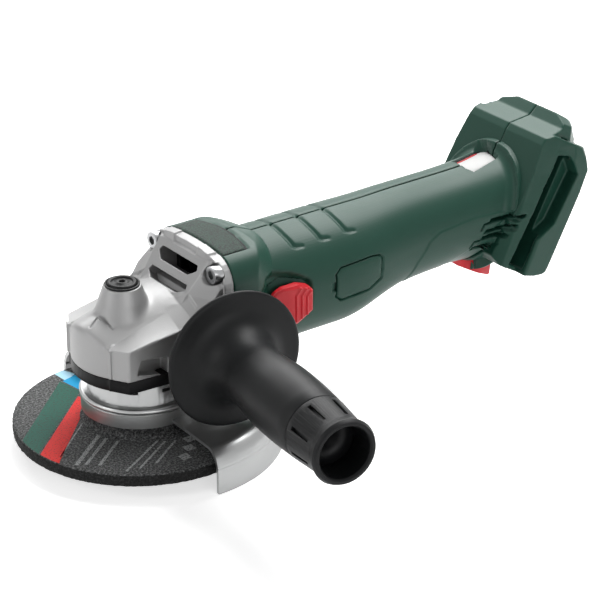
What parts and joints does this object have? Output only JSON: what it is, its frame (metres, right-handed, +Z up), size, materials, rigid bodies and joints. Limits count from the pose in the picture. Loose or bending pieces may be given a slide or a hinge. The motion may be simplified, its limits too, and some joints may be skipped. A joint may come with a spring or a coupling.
{
  "type": "angle grinder",
  "caption": "Cordless angle grinder: motor grip with a battery foot, bevel gear head, guarded depressed-centre disc, slide switch and screw-in side handle.",
  "frame": {"origin": "on the spindle axis, level with the upper face of the disc's rim", "axes": "+X back along the motor to the battery foot, +Y to the user's right, +Z up along the spindle"},
  "size_m": [0.3249, 0.2283, 0.116],
  "materials": {
    "body_shell": "moulded, fine texture",
    "red_plastic": "moulded",
    "black_plastic": "moulded",
    "handle_plastic": "moulded, fine texture",
    "cast_aluminium": "die cast, blasted",
    "black_aluminium": "black coated",
    "guard_steel": "zinc plated sheet",
    "bearing_steel": "ground",
    "dark_steel": "hardened and oiled",
    "screw_steel": "zinc plated",
    "black_screws": "black oxide",
    "abrasive": "bonded grit",
    "copper": "drawn wire",
    "brass": "sheet",
    "carbon": "pressed",
    "ferrite": "sintered",
    "white_label": "printed film",
    "green_label": "printed film"
  },
  "bodies": {
    "housing": {"housing_left": "body_shell", "housing_right": "body_shell", "housing_screws": "black_screws", "nameplate": "green_label", "rating_plate": "white_label", "gear_housing": "cast_aluminium", "gear_housing_screws": "screw_steel", "bearing_flange": "black_aluminium", "flange_screws": "black_screws", "bearing_cover": "guard_steel", "spindle_bearing": "bearing_steel", "needle_bearing": "bearing_steel", "lock_spring": "screw_steel", "button_ring": "black_plastic", "air_baffle": "black_plastic", "front_bearing": "bearing_steel", "rear_bearing": "bearing_steel", "motor_can": "screw_steel", "magnets": "ferrite", "brush_plate": "black_plastic", "brush_holders": "brass", "carbon_brushes": "carbon", "brush_springs": "screw_steel", "brush_cover_left": "body_shell", "brush_cover_right": "body_shell", "slide_spring": "screw_steel", "switch_block": "black_plastic", "control_module": "black_plastic", "terminal_block": "black_plastic", "contact_blades": "brass", "catch_pin": "screw_steel", "handle_grip": "handle_plastic", "handle_sleeve": "handle_plastic", "handle_stud": "screw_steel"},
    "guard": {"guard_shell": "guard_steel", "guard_collar": "guard_steel"},
    "spindle": {"spindle": "bearing_steel", "ring_gear": "dark_steel", "gear_circlip": "dark_steel", "inner_flange": "screw_steel", "grinding_disc": "abrasive", "clamping_nut": "dark_steel"},
    "armature": {"motor_shaft": "bearing_steel", "rotor_core": "dark_steel", "windings": "copper", "commutator": "copper", "cooling_fan": "black_plastic", "pinion": "dark_steel"},
    "slide_switch": {"slide_button": "red_plastic", "switch_rod": "black_plastic"},
    "lock": {"lock_button": "black_plastic", "lock_pin": "screw_steel"},
    "catch": {"catch_lever": "red_plastic"}
  },
  "joints": [
    {"name": "spindle_spin", "type": "hinge", "parent": "housing", "child": "spindle", "pos_m": [0, 0, 0], "axis": [0, 0, 1], "continuous": true},
    {"name": "armature_spin", "type": "hinge", "parent": "housing", "child": "armature", "pos_m": [0.08, 0, 0.0505], "axis": [1, 0, 0], "continuous": true},
    {"name": "guard_turn", "type": "hinge", "parent": "housing", "child": "guard", "pos_m": [0, 0, 0.02], "axis": [0, 0, 1], "range_deg": [-90, 40]},
    {"name": "switch_slide", "type": "slide", "parent": "housing", "child": "slide_switch", "axis": [-1, 0, 0], "range_m": [0, 0.007], "stiffness_N_per_m": 300, "springref_m": -0.003},
    {"name": "lock_press", "type": "slide", "parent": "housing", "child": "lock", "axis": [0, 0, -1], "range_m": [0, 0.004], "stiffness_N_per_m": 800, "springref_m": -0.002, "deforming": ["lock_spring"]},
    {"name": "catch_press", "type": "hinge", "parent": "housing", "child": "catch", "pos_m": [0.1935, 0, 0.0352], "axis": [0, -1, 0], "range_deg": [0, 4], "stiffness_Nm_per_rad": 0.5, "springref_deg": -5.73}
  ],
  "couplings": [
    {"joint": "armature_spin", "follows": "spindle_spin", "ratio": 3}
  ]
}
